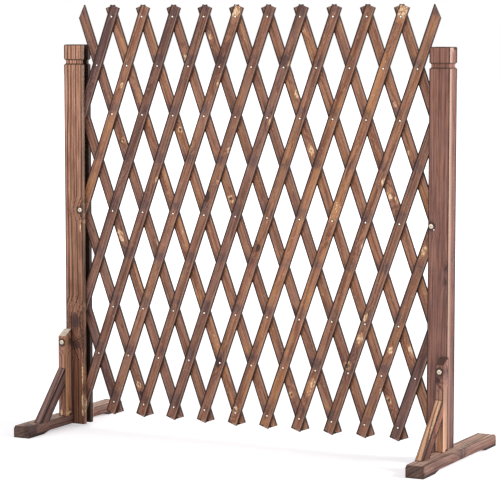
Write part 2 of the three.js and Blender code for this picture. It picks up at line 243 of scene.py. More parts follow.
def scorched_wood(name, early, late, end_grain, ring_width, contrast, wander, char, char_reach, streaky,
                  mottle=0.35, glow_share=0.3, pith=(-0.045, 0.025, 0.0), right_highlight=0.0, worn=None,
                  dark_sides=0.0, scorch_tint="B0BCE0", flecked=0.0, crossing_shade_effect=None):
    """Softwood that was passed through a flame and brushed: its late wood dark, its edges and ends charred.
    ring_width, wander and pith make its rings: how wide they are, how far they stray, and where the log's
    heart lay from the timber's middle, give or take a board's own chance. contrast is how dark the late wood
    is, streaky and mottle how unevenly it burnt along the grain and in patches, and glow_share how much of it
    glows golden. char is how black its edges are, and char_reach how far in they are charred. right_highlight
    is how strongly a highlight is painted along the front of its right side, where the side lamp catches it,
    in place of the char there, and worn is that painted highlight's colour. dark_sides is how much darker its
    sides are than its face, scorch_tint is the shade that a full scorch gives it, and flecked is how strongly
    the brush tore out bright specks and left sooty ones. crossing_shade_effect is the painted shade at a
    slat's crossings: a painted shadow round each rivet and a painted shade above each crossing. With it come
    the slat's charred sawn sides and the highlight painted along its right edges."""
    material = bpy.data.materials.new(name)
    material.use_nodes = True
    tree = material.node_tree
    surface = tree.nodes["Principled BSDF"]
    surface.inputs["Specular IOR Level"].default_value = wood_gloss

    def attribute(label, socket="Fac"):
        return put(tree, "Attribute", {}, attribute_name=label)[socket]

    place, board, scorched = attribute("grain_place", "Vector"), attribute("board"), attribute("scorch")
    gold, cream, dark, bend = 0.0, 0.0, 0.0, 0.0
    for number in range(1, marks_on_a_timber + 1):
        feeds = {"Place": place, "Board": board, "Mark": attribute(f"mark_{number}", "Vector"),
                 "Kind": attribute(f"mark_kind_{number}", "Vector")}
        mark = put(tree, "Group", feeds, node_tree=mark_effect)
        gold = calc(tree, "MAXIMUM", mark["Gold"], gold)
        cream = calc(tree, "MAXIMUM", mark["Cream"], cream)
        dark = calc(tree, "MAXIMUM", mark["Dark"], dark)
        bend = calc(tree, "ADD", mark["Bend"], bend)
    feeds = {"Place": place, "Pith": pith, "Board": board, "Ring Width": ring_width, "Wander": wander,
             "Bend": bend}
    grain = put(tree, "Group", feeds, node_tree=rings_effect)
    feeds = {"Place": place, "Half Size": attribute("half_size", "Vector")}
    edge = put(tree, "Group", feeds, node_tree=arris_effect)

    # The rings and the grain between them.
    burnt = times(tree, grain["Late Wood"], contrast)
    wood = tint(tree, burnt, paint(early), paint(late))
    glowing = calc(tree, "SUBTRACT", glow_share, scorched)
    wood = tint(tree, times(tree, fade(tree, grain["Glow"], 0.46, 0.66), glowing), wood, paint(glow_colour))
    streaks = times(tree, fade(tree, grain["Streak"], 0.42, 0.7), streaky)
    wood = tint(tree, streaks, wood, paint(streak_shade), "MULTIPLY")
    fibres = times(tree, fade(tree, grain["Fibre"], 0.4, 0.75), fibre_share)
    wood = tint(tree, fibres, wood, paint(fibre_shade), "MULTIPLY")
    if flecked:
        bright = times(tree, fade(tree, grain["Speck"], 0.62, 0.72), flecked)
        wood = tint(tree, bright, wood, paint(bright_speck))
        sooty = times(tree, fade(tree, grain["Speck"], 0.38, 0.28), flecked)
        wood = tint(tree, sooty, wood, paint(sooty_speck))
    if dark_sides:
        wood = tint(tree, times(tree, edge["Side"], dark_sides), wood, paint(side_shade), "MULTIPLY")

    # The scorch in uneven patches, the painted shade above the slats' crossings, and the marks, among them
    # painted shadows round the bolts.
    patch = calc(tree, "SUBTRACT", grain["Blotch"], 0.5)
    scorch = calc(tree, "MULTIPLY_ADD", patch, mottle * 4, scorched)
    # The painted shade above each of a slat's crossings, laid on as a scorch.
    if crossing_shade_effect:
        feeds = {"Place": place, "Board": board, "Pins": attribute("pins", "Vector")}
        shade_at_crossings = put(tree, "Group", feeds, node_tree=crossing_shade_effect)
        scorch = calc(tree, "MULTIPLY_ADD", shade_at_crossings["Corner Shade"], crossing_shade_share, scorch)
    wood = tint(tree, scorch, wood, paint(scorch_tint), "MULTIPLY")
    wood = tint(tree, times(tree, gold, gold_share), wood, paint(golden_wood))
    hardness = calc(tree, "SUBTRACT", torn_level, grain["Speck"])
    torn = times(tree, calc(tree, "SUBTRACT", cream, hardness), torn_sharpness)
    wood = tint(tree, torn, wood, paint(bare_wood))
    wood = tint(tree, times(tree, dark, heart_share), wood, paint(knot_heart))

    # The charred edges, with a highlight painted in place of the char along the right ones.
    to_edge = times(tree, edge["Distance"], calc(tree, "MULTIPLY_ADD", edge["Side"], -side_pull, 1.0))
    patchy = calc(tree, "ADD", grain["Blotch"], 0.62)
    charred = times(tree, fade(tree, to_edge, char_reach, char_reach / 2), char, patchy)
    right = calc(tree, "SUBTRACT", 1.0, edge["Left"])
    # A pale band painted along the front of the right side, as the side lamp's highlight.
    if right_highlight:
        _, through, _ = put(tree, "SeparateXYZ", {0: place})
        highlight_starts, highlight_full = 0.022, 0.002  # how far from the arris the painted highlight starts and is full
        back, front = 0.004, -0.004  # from the timber's middle
        near = times(tree, right, edge["Side"], fade(tree, through, back, front))
        unburnt = calc(tree, "SUBTRACT", 1.2, scorched)
        painted_highlight = times(tree, fade(tree, edge["Distance"], highlight_starts, highlight_full), near, right_highlight, unburnt)
        wood = tint(tree, painted_highlight, wood, paint(worn))
        charred = times(tree, charred, calc(tree, "SUBTRACT", 1.0, near))
    # The posts' grooves are painted nearly black: char, and painted shade where the side lamp reaches in.
    charred = calc(tree, "MAXIMUM", charred, times(tree, attribute("in_groove"), groove_char_and_shade))
    if crossing_shade_effect:
        line_ends, line_full = 0.0018, 0.001  # the thin charred line along an edge with a painted highlight
        # A highlight painted along the slats' right edges, where the side lamp catches them.
        wood = tint(tree, times(tree, charred, right, edge_highlight_share), wood, paint(edge_highlight))
        thin = times(tree, fade(tree, edge["Distance"], line_ends, line_full), right)
        charred = calc(tree, "MULTIPLY_ADD", charred, edge["Left"], times(tree, thin, thin_line_share))
        charred = calc(tree, "MAXIMUM", charred, times(tree, edge["Side"], slat_side_char))
        # A painted shadow round each rivet's head.
        charred = calc(tree, "MAXIMUM", charred, times(tree, shade_at_crossings["Ring"], rivet_shadow_share))
    wood = tint(tree, charred, wood, paint(char_black))

    # The ends, where the rings are sawn across, and the relief that the brush left.
    sawn_across = tint(tree, burnt, paint(end_grain), paint(end_ring_shade), "MULTIPLY")
    wood = tint(tree, times(tree, attribute("end_grain"), end_share), wood, sawn_across)
    tree.links.new(wood, surface.inputs["Base Color"])
    roughness = calc(tree, "MULTIPLY_ADD", grain["Fibre"], fibre_roughness, least_roughness)
    tree.links.new(roughness, surface.inputs["Roughness"])
    relief = calc(tree, "MULTIPLY_ADD", grain["Fibre"], 0.5, grain["Late Wood"])
    relief = calc(tree, "SUBTRACT", relief, dark)
    bump = put(tree, "Bump", {"Height": relief, "Strength": 0.5, "Distance": fibre_relief})
    tree.links.new(bump[0], surface.inputs["Normal"])
    return material


def mark_grain(mesh, to_board, half_size, board, scorch, spots, pins=(0.0, 0.0, 0.0)):
    """Writes on a timber's mesh where each point is in its board, for the wood's pattern to follow. board is
    the timber's own number, so that no two look alike. scorch is how darkly the flame burnt it, 1 being
    fully, at its low end and at its high end. Each of the spots is a kind of mark, its place across and along
    from the timber's middle, and its size. pins are the place of a slat's first crossing, that crossing's
    row, and the row of the one that has no rivet."""
    end_lean = 0.6  # a face that looks this much along the timber is end grain
    nowhere = ("fleck", 0.0, 9.0, 0.001)
    places = [to_board @ vertex.co for vertex in mesh.vertices]
    shares = [(place.z / half_size[2] + 1) / 2 for place in places]
    turn = to_board.to_3x3()

    def write(label, values, holds="FLOAT", on="POINT"):
        attribute = mesh.attributes.new(label, holds, on)
        attribute.data.foreach_set("vector" if holds == "FLOAT_VECTOR" else "value", values)

    write("grain_place", [value for place in places for value in place], "FLOAT_VECTOR")
    write("half_size", list(half_size) * len(places), "FLOAT_VECTOR")
    write("board", [board] * len(places))
    write("scorch", [scorch[0] + (scorch[1] - scorch[0]) * share for share in shares])
    write("end_grain", [abs((turn @ face.normal).z) > end_lean for face in mesh.polygons], on="FACE")
    write("pins", list(pins) * len(places), "FLOAT_VECTOR")
    for number in range(marks_on_a_timber):
        kind, *spot = spots[number] if number < len(spots) else nowhere
        write(f"mark_{number + 1}", spot * len(places), "FLOAT_VECTOR")
        write(f"mark_kind_{number + 1}", list(mark_kinds[kind]) * len(places), "FLOAT_VECTOR")


def finish_piece(shape, name, material, body, slot, *stands_for):
    """A finished bmesh as a piece that rides on its CAD body and stands for the CAD nodes named."""
    mesh = bpy.data.meshes.new(name)
    shape.to_mesh(mesh)
    shape.free()
    piece = bpy.data.objects.new(name, mesh)
    bpy.context.scene.collection.objects.link(piece)
    mesh.materials.append(material)
    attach(piece, body)
    if stands_for:
        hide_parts(*stands_for)
    return piece


same_point = 0.00001  # points nearer than this are one


def ease(shape, edges, size):
    """Rounds the edges given, as sandpaper and the brush leave them."""
    bmesh.ops.bevel(shape, geom=edges, offset=size, offset_type="OFFSET", segments=2, profile=0.5,
                    affect="EDGES", clamp_overlap=True, material=-1)


def eased_timber(node, size):
    """A timber's CAD shape with its arrises eased, apart from the short ones."""
    shortest_arris, flat, least_turn = 0.012, math.radians(1), math.radians(15)
    shape = bmesh.new()
    shape.from_mesh(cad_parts[node].data)
    bmesh.ops.remove_doubles(shape, verts=shape.verts, dist=same_point)
    bmesh.ops.dissolve_limit(shape, angle_limit=flat, verts=shape.verts, edges=shape.edges)
    sharp = [e for e in shape.edges if e.calc_length() > shortest_arris and e.calc_face_angle(0) > least_turn]
    ease(shape, sharp, size)
    return shape


def board_frame(node, along):
    """The way from the CAD's frame into a timber's own: across, through and along it, from its middle."""
    low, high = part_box(node)
    x = Vector((1, 0, 0))
    y = along.cross(x).normalized()
    turn = Matrix((x, y, along)).to_4x4()
    return turn @ Matrix.Translation(-(low + high) / 2)


upward, backward = Vector((0, 0, 1)), Vector((0, 1, 0))
foot_boards = {"left": 101, "right": 104}
foot_scorch = {"left": (0.35, 0.0), "right": (0.45, -0.3)}  # at its front end and at its back end
foot_marks = {  # a kind, its place across and along from the foot's middle, and its size
    "left": (("fleck", 0.019, 0.072, 0.006), ("smoke", 0.022, -0.212, 0.020)),
    "right": (("swirl", 0.0215, 0.002, 0.008), ("swirl", 0.021, 0.022, 0.006)),
}
foot_wood = scorched_wood("foot_wood", foot_early_wood, foot_late_wood, foot_end_grain, ring_width=0.0075,
                          contrast=0.8, wander=0.04, char=0.95, char_reach=0.0034, mottle=0.5, streaky=0.8,
                          glow_share=0.2, pith=(0.04, 0.05, 0.0), right_highlight=0.06, worn="D9BFB2",
                          dark_sides=0.85, scorch_tint="B4AAB0")
for side, board in foot_boards.items():
    node = f"{side}_foot"
    low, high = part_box(node)
    foot = finish_piece(eased_timber(node, foot_ease), f"{side}_foot_bar", foot_wood, f"{side}_stand",
                        "stand_wood", node)
    half_size = ((high.x - low.x) / 2, (high.z - low.z) / 2, (high.y - low.y) / 2)
    mark_grain(foot.data, board_frame(node, backward), half_size, board, foot_scorch[side], foot_marks[side])


# The uprights. Each is a short block of the same timber, bevelled at its top, that stands on the foot and is
# bolted to the post's front, to keep the post from tipping. The left one was cut from golden heartwood.
stand_ease = 0.0012  # how far the arrises of uprights, braces and posts are rounded
block_boards = {"left": 111, "right": 114}
block_woods = {
    # The left one's end grain is painted near white, as a sheen on its bevelled top.
    "left": {"early": "C6967E", "late": "6A4130", "end_grain": "FFF4E2", "worn": "DDA572"},
    "right": {"early": "D0A286", "late": "4A2F28", "end_grain": "4A3530", "worn": "DBAC90"},
}
block_scorch = {"left": (-0.1, 0.3), "right": (-0.6, 1.5)}  # under 0, the flame missed that end
block_marks = {
    "left": (("fleck", -0.003, -0.102, 0.005), ("fleck", 0.010, -0.106, 0.004)),
    "right": (("smoke", -0.004, 0.060, 0.007),),
}
bolt_shadow_size = 0.013  # the size of the painted shadow round the bolt's head
for side, board in block_boards.items():
    node = f"{side}_upright"
    low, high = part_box(node)
    bolt_low, bolt_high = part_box(f"{side}_upright_bolt")
    wood = scorched_wood(f"{side}_upright_wood", **block_woods[side], ring_width=0.0062, contrast=0.9,
                         wander=0.03, char=0.85, char_reach=0.0022, mottle=0.5, streaky=0.8,
                         pith=(-0.05, 0.0, 0.0), right_highlight=0.5, scorch_tint="C6BAC6")
    upright = finish_piece(eased_timber(node, stand_ease), f"{side}_upright_block", wood, f"{side}_stand",
                           "stand_wood", node)
    bolt_above_middle = (bolt_low.z + bolt_high.z - low.z - high.z) / 2
    # The first spot is a painted shadow round the bolt's head.
    spots = (("painted_bolt_shadow", 0.0, bolt_above_middle, bolt_shadow_size), *block_marks[side])
    mark_grain(upright.data, board_frame(node, upward), (high - low) / 2, board, block_scorch[side], spots)


# The braces. Each is a slanted strut, cut level at its foot and upright at its top, screwed from behind and
# from below. The left one is burnt purplish brown, and the right one is pale and striped.
brace_thickness = 0.030
brace_woods = {
    "left": {"early": "AF8B83", "late": "2E1C1A", "dark_sides": 0.45},
    "right": {"early": "FCCBA6", "late": "5A3522", "dark_sides": 1.0},
}
brace_boards = {"left": 121, "right": 124}
brace_scorch = {"left": (0.35, 0.1), "right": (0.2, 0.0)}
for side, board in brace_boards.items():
    node = f"{side}_brace"
    low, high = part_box(node)
    slope = Vector((0, high.y - low.y, high.z - low.z))
    wood = scorched_wood(f"{side}_brace_wood", **brace_woods[side], end_grain="5A3B2C", ring_width=0.0085,
                         contrast=1.0, wander=0.03, char=0.95, char_reach=0.0024, streaky=0.7,
                         glow_share=0.15, pith=(0.06, 0.0, 0.0), scorch_tint="A09494")
    brace = finish_piece(eased_timber(node, stand_ease), f"{side}_brace_strut", wood, f"{side}_stand",
                         "stand_wood", node)
    to_board = Matrix.Translation((0, -brace_thickness / 2, 0)) @ board_frame(node, slope.normalized())
    half_size = ((high.x - low.x) / 2, brace_thickness / 2, slope.length / 2)
    shaded_side = () if side == "left" else (("shade", half_size[0], -0.055, 0.006),)
    mark_grain(brace.data, to_board, half_size, board, brace_scorch[side], shaded_side)


# The posts. Each is one length of timber, grooved down its inner side for the slats' ends, with a ring groove
# cut round it near the top as its only ornament. The flame has left bold stripes in the left one's grain.
groove_floor = 0.00885  # how far past the timber's middle the groove is cut, out to the web
groove_half_width = 0.00945
groove_shade_margin = 0.001  # takes in the groove's own floor and walls, painted black as shade
shaded_strip_behind = 0.02  # and the strip of the inner side behind the groove, which is painted as dark
# worn is the colour of the highlight painted on each post's right side.
post_woods = {
    "left": {"early": "D9A489", "late": "402216", "contrast": 1.0, "pith": (-0.135, -0.03, 0.0),
             "worn": "EBC3A8", "scorch_tint": "AEA298"},
    "right": {"early": "AB7A67", "late": "663F33", "contrast": 0.6, "pith": (0.06, -0.06, 0.0),
              "worn": "F0CAB2", "dark_sides": 0.5},
}
post_boards = {"left": 131, "right": 134}
post_scorch = {"left": (1.1, 0.0), "right": (0.6, 0.3)}
post_marks = {  # a kind, its place across and along from the post's middle, and its size
    # The first mark on each post is a painted shadow round its lattice bolt's head.
    "left": (("painted_bolt_shadow", 0.018, 0.066, 0.013), ("burl", 0.000, -0.218, 0.020), ("burl", 0.003, -0.278, 0.013),
             ("ray", 0.018, 0.026, 0.0022), ("ray", 0.0225, -0.355, 0.004), ("ray", 0.0225, -0.430, 0.0045)),
    "right": (("painted_bolt_shadow", -0.018, 0.066, 0.013), ("swirl", 0.020, -0.030, 0.007),
              ("swirl", 0.018, -0.062, 0.006)),
}


def in_groove(place, inward):
    """Whether a face, by its place from its post's middle, lies in the groove or on the strip behind it,
    where char and painted shade are laid.
    """
    past_floor = place.x * inward > -groove_floor - groove_shade_margin
    return past_floor and -groove_half_width - groove_shade_margin < place.y < shaded_strip_behind


for side, board in post_boards.items():
    node = f"{side}_post"
    low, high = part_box(node)
    wood = scorched_wood(f"{side}_post_wood", **post_woods[side], end_grain="60483C", ring_width=0.007,
                         wander=0.03, char=0.9, char_reach=0.003, streaky=0.8, right_highlight=0.5)
    post = finish_piece(eased_timber(node, stand_ease), f"{side}_post_timber", wood, f"{side}_stand",
                        "post_wood", node)
    mark_grain(post.data, board_frame(node, upward), (high - low) / 2, board, post_scorch[side],
               post_marks[side])
    middle, inward = Vector(((low.x + high.x) / 2, 0, 0)), 1 if side == "left" else -1
    # The faces in the groove and behind it, which take the painted shade.
    groove_shade_faces = post.data.attributes.new("in_groove", "FLOAT", "FACE")
    groove_shade_faces.data.foreach_set("value", [in_groove(f.center - middle, inward) for f in post.data.polygons])


# The slats. Fourteen thin laths lean to the right in front and fourteen lean to the left behind them. They
# are sawn from mixed boards, so each took the flame differently, and their sawn edges are nearly black.
slat_width = 0.026
slat_thickness = 0.007
slat_ease = 0.0007
pin_spacing = 0.129
rest_lean = math.radians(19.75)
columns, rows = 11, 8
bolt_row = 4  # the row of crossings that the posts' bolts hold
bolt_height = 0.554
top_end, bottom_end, held_end = 0.027, 0.030, 0.012  # reach past the last crossing, free or in a post
layer_gap = 0.0003
half_pitch = pin_spacing * math.sin(rest_lean)
row_rise = pin_spacing * math.cos(rest_lean)
slats_in_a_layer = columns + rows // 2 - 1
first_rear_board = 80  # front slats take their own numbers as boards, and rear ones go on from here

# How darkly each slat was burnt, from the left.
front_scorch_shares = (1.1, 0.1, 0.65, 0.55, 0.4, 0.4, 0.6, 0.3, 0.05, 0.0, 0.3, 0.5, 0.35, 0.9)
rear_scorch_shares = (0.9, 0.6, 0.5, 0.45, 0.15, 0.2, 0.3, 0.35, 0.45, 0.2, 0.15, 0.2, 0.15, 0.35)

# The marks that show most: a kind, the row of crossings it lies at, its place across and its size.
front_marks = {
    1: (("dusk", 0.55, 0.0, 0.012),),
    2: (("fleck", 1.4, 0.002, 0.005),),
    3: (("dusk", 0.45, 0.0, 0.014), ("dusk", 2.3, 0.0, 0.011)),
    4: (("fleck", 3.28, 0.010, 0.005),),
    5: (("fleck", -0.13, -0.003, 0.015), ("fleck", 1.3, 0.012, 0.006), ("knot", 2.61, -0.009, 0.007)),
    6: (("smoke", 3.65, -0.008, 0.011), ("fleck", 2.64, 0.011, 0.005), ("fleck", 3.3, 0.008, 0.004)),
    7: (("fleck", 2.04, 0.012, 0.007), ("fleck", 0.9, 0.012, 0.005), ("dusk", -0.05, 0.0, 0.010)),
    8: (("smoke", 7.0, -0.004, 0.010), ("smoke", 4.6, 0.002, 0.007)),
    9: (("knot", 7.95, -0.004, 0.009),),
    10: (("fleck", -0.13, 0.001, 0.017), ("streak", 1.3, -0.004, 0.009), ("worn", 3.82, -0.003, 0.017)),
    11: (("worn", 7.33, 0.002, 0.013), ("fleck", 3.15, 0.009, 0.006), ("fleck", 4.42, 0.012, 0.006)),
    12: (("fleck", 6.3, 0.0, 0.009), ("knot", 6.87, -0.007, 0.010), ("fleck", 5.88, -0.005, 0.007)),
    13: (("fleck", 6.49, 0.0, 0.007), ("fleck", 4.5, -0.002, 0.008), ("fleck", 7.27, 0.012, 0.005)),
}
rear_marks = {
    2: (("knot", 7.6, 0.0, 0.008), ("smoke", 7.78, -0.001, 0.006)),
    3: (("fleck", 4.5, -0.003, 0.010), ("streak", 5.45, 0.009, 0.005)),
    4: (("knot", 2.55, 0.005, 0.007), ("fleck", 4.62, 0.012, 0.005)),
    5: (("streak", 1.9, 0.008, 0.007), ("streak", 4.4, 0.008, 0.006), ("streak", 6.8, 0.005, 0.008),
        ("streak", 0.75, 0.005, 0.006), ("streak", 3.2, 0.007, 0.006)),
    6: (("knot", 2.3, 0.004, 0.008),),
    7: (("knot", 3.65, -0.001, 0.010), ("fleck", 0.85, -0.002, 0.008), ("knot", 7.52, -0.004, 0.008)),
    8: (("fleck", 0.4, -0.003, 0.005),),
    9: (("streak", 0.35, 0.004, 0.004), ("knot", 6.85, -0.002, 0.008)),
    10: (("fleck", 1.54, 0.010, 0.008), ("fleck", 2.62, 0.0, 0.009), ("knot", 7.47, -0.005, 0.010)),
    11: (("fleck", 0.26, -0.005, 0.005), ("fleck", 1.1, 0.003, 0.004), ("fleck", 6.5, 0.010, 0.009)),
    12: (("fleck", 3.43, -0.006, 0.008), ("fleck", 3.56, 0.009, 0.005)),
    13: (("fleck", 2.6, -0.006, 0.004), ("fleck", 1.68, -0.002, 0.004)),
    14: (("fleck", -0.13, 0.004, 0.012),),
}


def painted_crossing_shade():
    """Painted shade at a slat's crossings: a dark ring round each rivet, painted as the shadow round its
    head, and a painted shade above the crossing, in the corner between the two slats. The rows next to the
    bolts' have no rivets, and so no rings."""
    rivet_shadow_ends, rivet_shadow_full = 0.0052, 0.003  # how far from the rivet's middle
    shade_starts, shade_full, shade_thins, shade_ends = -0.004, 0.012, 0.022, 0.038  # how far above it
    rag_stretch = (60, 60, 40)
    inputs = {"Place": "Vector", "Pins": "Vector", "Board": "Float"}
    tree, given, out = effect("painted_crossing_shade", inputs, {"Ring": "Float", "Corner Shade": "Float"})
    across, _, along = put(tree, "SeparateXYZ", {0: given["Place"]})
    first, top_row, bare_row = put(tree, "SeparateXYZ", {0: given["Pins"]})
    turns = calc(tree, "DIVIDE", calc(tree, "SUBTRACT", first, along), pin_spacing)
    nearest = calc(tree, "ROUND", turns)
    above = times(tree, calc(tree, "SUBTRACT", nearest, turns), pin_spacing)
    row = calc(tree, "ADD", nearest, top_row)
    from_bolts = calc(tree, "ABSOLUTE", calc(tree, "SUBTRACT", row, bolt_row))
    from_next_rows = calc(tree, "ABSOLUTE", calc(tree, "SUBTRACT", from_bolts, 1.0))
    from_bare_row = calc(tree, "ABSOLUTE", calc(tree, "SUBTRACT", row, bare_row))
    not_next = calc(tree, "MINIMUM", from_next_rows, 1.0)
    not_bare = calc(tree, "MINIMUM", from_bare_row, 1.0)
    # The painted shadow round each rivet's head.
    ring = fade(tree, distance(tree, above, across), rivet_shadow_ends, rivet_shadow_full)
    tree.links.new(times(tree, ring, not_next, not_bare), out["Ring"])
    # The painted shade above each crossing.
    ragged = fade(tree, noise(tree, given["Place"], rag_stretch, given["Board"]), 0.3, 0.6)
    rising, falling = fade(tree, above, shade_starts, shade_full), fade(tree, above, shade_ends, shade_thins)
    tree.links.new(times(tree, rising, falling, ragged), out["Corner Shade"])
    return tree


def pin_place(column, row):
    """The middle of a crossing, between the two layers."""
    return Vector(((2 * column - columns) * half_pitch, 0, bolt_height + (bolt_row - row) * row_rise))


def slat_rows(first, way):
    """The top and bottom rows of a slat, whose line passes row 0 at the column called first. way is -1 for
    the slats in front and 1 for those behind."""
    if way < 0:
        return max(0, 2 * (first - columns)), min(rows, 2 * first)
    return max(0, -2 * first), min(rows, 2 * (columns - first))


def slat_ends(column, row):
    """How far a slat's left and right edges run past its last crossing. A free end at the lattice's own side
    is mitred."""
    if row not in (0, rows):
        return held_end, held_end
    reach = bottom_end if row else top_end
    mitred = reach - slat_width
    return mitred if column == 0 else reach, mitred if column == columns else reach


def slat_piece(number, way, scorch):
    """One slat, made upright with its first crossing at the top, and then leaned over into its place."""
    first = number if way < 0 else number - rows // 2
    top, bottom = slat_rows(first, way)
    run = (bottom - top) * pin_spacing
    upper, lower = slat_ends(first + way * top / 2, top), slat_ends(first + way * bottom / 2, bottom)
    half, front = slat_width / 2, (way - 1) / 2 * slat_thickness + way * layer_gap / 2
    shape = bmesh.new()
    outline = [(-half, upper[0]), (half, upper[1]), (half, -run - lower[1]), (-half, -run - lower[0])]
    face = shape.faces.new([shape.verts.new((x, front, z)) for x, z in outline])
    swept = bmesh.ops.extrude_face_region(shape, geom=[face])["geom"]
    moved = [v for v in swept if isinstance(v, bmesh.types.BMVert)]
    bmesh.ops.translate(shape, verts=moved, vec=(0, slat_thickness, 0))
    bmesh.ops.recalc_face_normals(shape, faces=shape.faces)
    ease(shape, shape.edges[:], slat_ease)
    to_middle = Matrix.Translation((0, -front - slat_thickness / 2, run / 2))
    first_pin = pin_place(first + way * top / 2, top)
    lean = Matrix.Translation(first_pin) @ Matrix.Rotation(-way * rest_lean, 4, "Y")
    bmesh.ops.transform(shape, matrix=lean, verts=shape.verts)
    layer = "front" if way < 0 else "rear"
    node = f"{layer}_slat_{number:02d}"
    slat = finish_piece(shape, f"{layer}_lath_{number:02d}", slat_wood, node, "lattice_wood", node)
    free_ends = {(-1, columns): 0, (-1, rows // 2): rows, (1, rows // 2): 0, (1, columns): rows}
    bare_row = free_ends.get((way, number), -rows)  # the row at which this slat's end crosses no other
    seen = (front_marks if way < 0 else rear_marks).get(number, ())
    spots = [(kind, across, run / 2 - (row - top) * pin_spacing, size) for kind, row, across, size in seen]
    board = number if way < 0 else first_rear_board + number
    mark_grain(slat.data, to_middle @ lean.inverted(), (half, slat_thickness / 2, run / 2 + bottom_end),
               board, (scorch, scorch), spots, (run / 2, top, bare_row))


slat_wood = scorched_wood("slat_wood", early="B68266", late="74493A", end_grain="3A2822", ring_width=0.005,
                          contrast=0.85, wander=0.02, char=0.95, char_reach=0.0046, glow_share=0.75,
                          streaky=0.8, flecked=0.45, crossing_shade_effect=painted_crossing_shade())
for number, (front_scorch, rear_scorch) in enumerate(zip(front_scorch_shares, rear_scorch_shares), 1):
    slat_piece(number, -1, front_scorch)
    slat_piece(number, 1, rear_scorch)


# The rivets. A zinc-plated steel rivet joins the slats at every crossing but those of the two rows next to
# the bolts': a low domed head in front, a shank through both slats, and a tail clenched over behind.
rivet_head = [(0.0, -0.0086), (0.0012, -0.0084), (0.0022, -0.0078), (0.00275, -0.00715), (0.0026, -0.0068)]
rivet_shank = [(0.0015, -0.0066), (0.0015, 0.0070)]
rivet_tail = [(0.0026, 0.00725), (0.0026, 0.0080), (0.0014, 0.0086), (0.0, 0.0087)]
rivet_sides, nail_sides, bolt_sides = 16, 24, 48
clouded_zinc = "BFB8AE"


def zinc_steel(name, base, roughness):
    """Bright steel: its plating slightly clouded, and dulled a little in patches."""
    cloud_scale, cloud_roughness, pitting = 420.0, 0.25, 0.0002
    material = bpy.data.materials.new(name)
    material.use_nodes = True
    tree = material.node_tree
    surface = tree.nodes["Principled BSDF"]
    surface.inputs["Metallic"].default_value = 1.0
    place = put(tree, "TexCoord", {})["Object"]
    cloud = put(tree, "TexNoise", {"Vector": place, "Scale": cloud_scale, "Detail": 4.0})[0]
    tree.links.new(tint(tree, cloud, paint(base), paint(clouded_zinc)), surface.inputs["Base Color"])
    clouded = calc(tree, "MULTIPLY_ADD", cloud, cloud_roughness, roughness)
    tree.links.new(clouded, surface.inputs["Roughness"])
    bump = put(tree, "Bump", {"Height": cloud, "Strength": 0.15, "Distance": pitting})
    tree.links.new(bump[0], surface.inputs["Normal"])
    return material


def turned(profile, steps):
    """A bmesh turned on a lathe about the Y axis from a profile of (radius, place along it)."""
    shape = bmesh.new()
    line = [shape.verts.new((radius, place, 0)) for radius, place in profile]
    edges = [shape.edges.new(pair) for pair in zip(line, line[1:])]
    bmesh.ops.spin(shape, geom=line + edges, cent=(0, 0, 0), axis=(0, 1, 0), angle=math.tau, steps=steps,
                   use_merge=True)
    bmesh.ops.remove_doubles(shape, verts=shape.verts, dist=same_point)
    bmesh.ops.recalc_face_normals(shape, faces=shape.faces)
    for face in shape.faces:
        face.smooth = True
    return shape


steel = zinc_steel("zinc_steel", "F4F1EC", 0.2)
rivet_mesh = bpy.data.meshes.new("one_rivet")
rivet = turned(rivet_head + rivet_shank + rivet_tail, rivet_sides)
rivet.to_mesh(rivet_mesh)
rivet.free()
for number in range(1, slats_in_a_layer + 1):
    top, bottom = slat_rows(number, -1)
    shape = bmesh.new()
    for row in range(top, bottom + 1):
        column, crossing = number - row / 2, number - row
        crossed = -rows / 2 < crossing < columns
        if not crossed or abs(row - bolt_row) == 1 or (row == bolt_row and column in (0, columns)):
            continue
        before = len(shape.verts)
        shape.from_mesh(rivet_mesh)
        shape.verts.ensure_lookup_table()
        bmesh.ops.translate(shape, verts=shape.verts[before:], vec=pin_place(column, row))
    finish_piece(shape, f"front_lath_{number:02d}_rivets", steel, f"front_slat_{number:02d}", "steel")


# The bolts and their sleeve nuts. Furniture bolts with low crowned heads and hexagon sockets hold the lattice
# in its posts and the uprights to them. Each nut is a flanged sleeve let into the back of the post.
bolt_steel = zinc_steel("bolt_steel", "C6B79E", 0.34)
head_height = 0.0022
crowned_rim = (  # a share of the head's radius, and how far under its crown
    (0.55, 0.0001), (0.82, 0.0005), (0.97, 0.0012), (1.0, 0.0018), (0.97, head_height),
)
bolt_shank, bolt_chamfer = 0.003, 0.0005
socket_share, socket_depth, socket_lip, hexagon_share = 0.36, 0.0024, 0.0001, 0.98
sleeve_outside, sleeve_inside = 0.0042, 0.0034


def bolt_shape(low, high):
    """A bolt that fills its CAD node's place from head to tip, with a hexagon socket let into its head."""
    radius, crown, tip = (high.x - low.x) / 2, low.y, high.y
    socket = radius * socket_share
    shape = turned([
        (socket, crown),
        *((radius * share, crown + drop) for share, drop in crowned_rim),
        (bolt_shank, crown + head_height),
        (bolt_shank, tip - bolt_chamfer),
        (bolt_shank - bolt_chamfer, tip),
        (0, tip),
    ], bolt_sides)
    rim = [e for e in shape.edges if e.is_boundary]
    facing_front = Matrix.Translation((0, crown + socket_lip, 0)) @ Matrix.Rotation(math.pi / 2, 4, "X")
    ring = bmesh.ops.create_circle(shape, segments=6, radius=socket * hexagon_share, matrix=facing_front)
    hexagon = list({e for v in ring["verts"] for e in v.link_edges})
    bmesh.ops.bridge_loops(shape, edges=rim + hexagon)
    sunk = bmesh.ops.extrude_edge_only(shape, edges=hexagon)["geom"]
    floor = [v for v in sunk if isinstance(v, bmesh.types.BMVert)]
    bmesh.ops.translate(shape, verts=floor, vec=(0, socket_depth, 0))
    bmesh.ops.contextual_create(shape, geom=[e for e in sunk if isinstance(e, bmesh.types.BMEdge)])
    bmesh.ops.recalc_face_normals(shape, faces=shape.faces)
    return shape


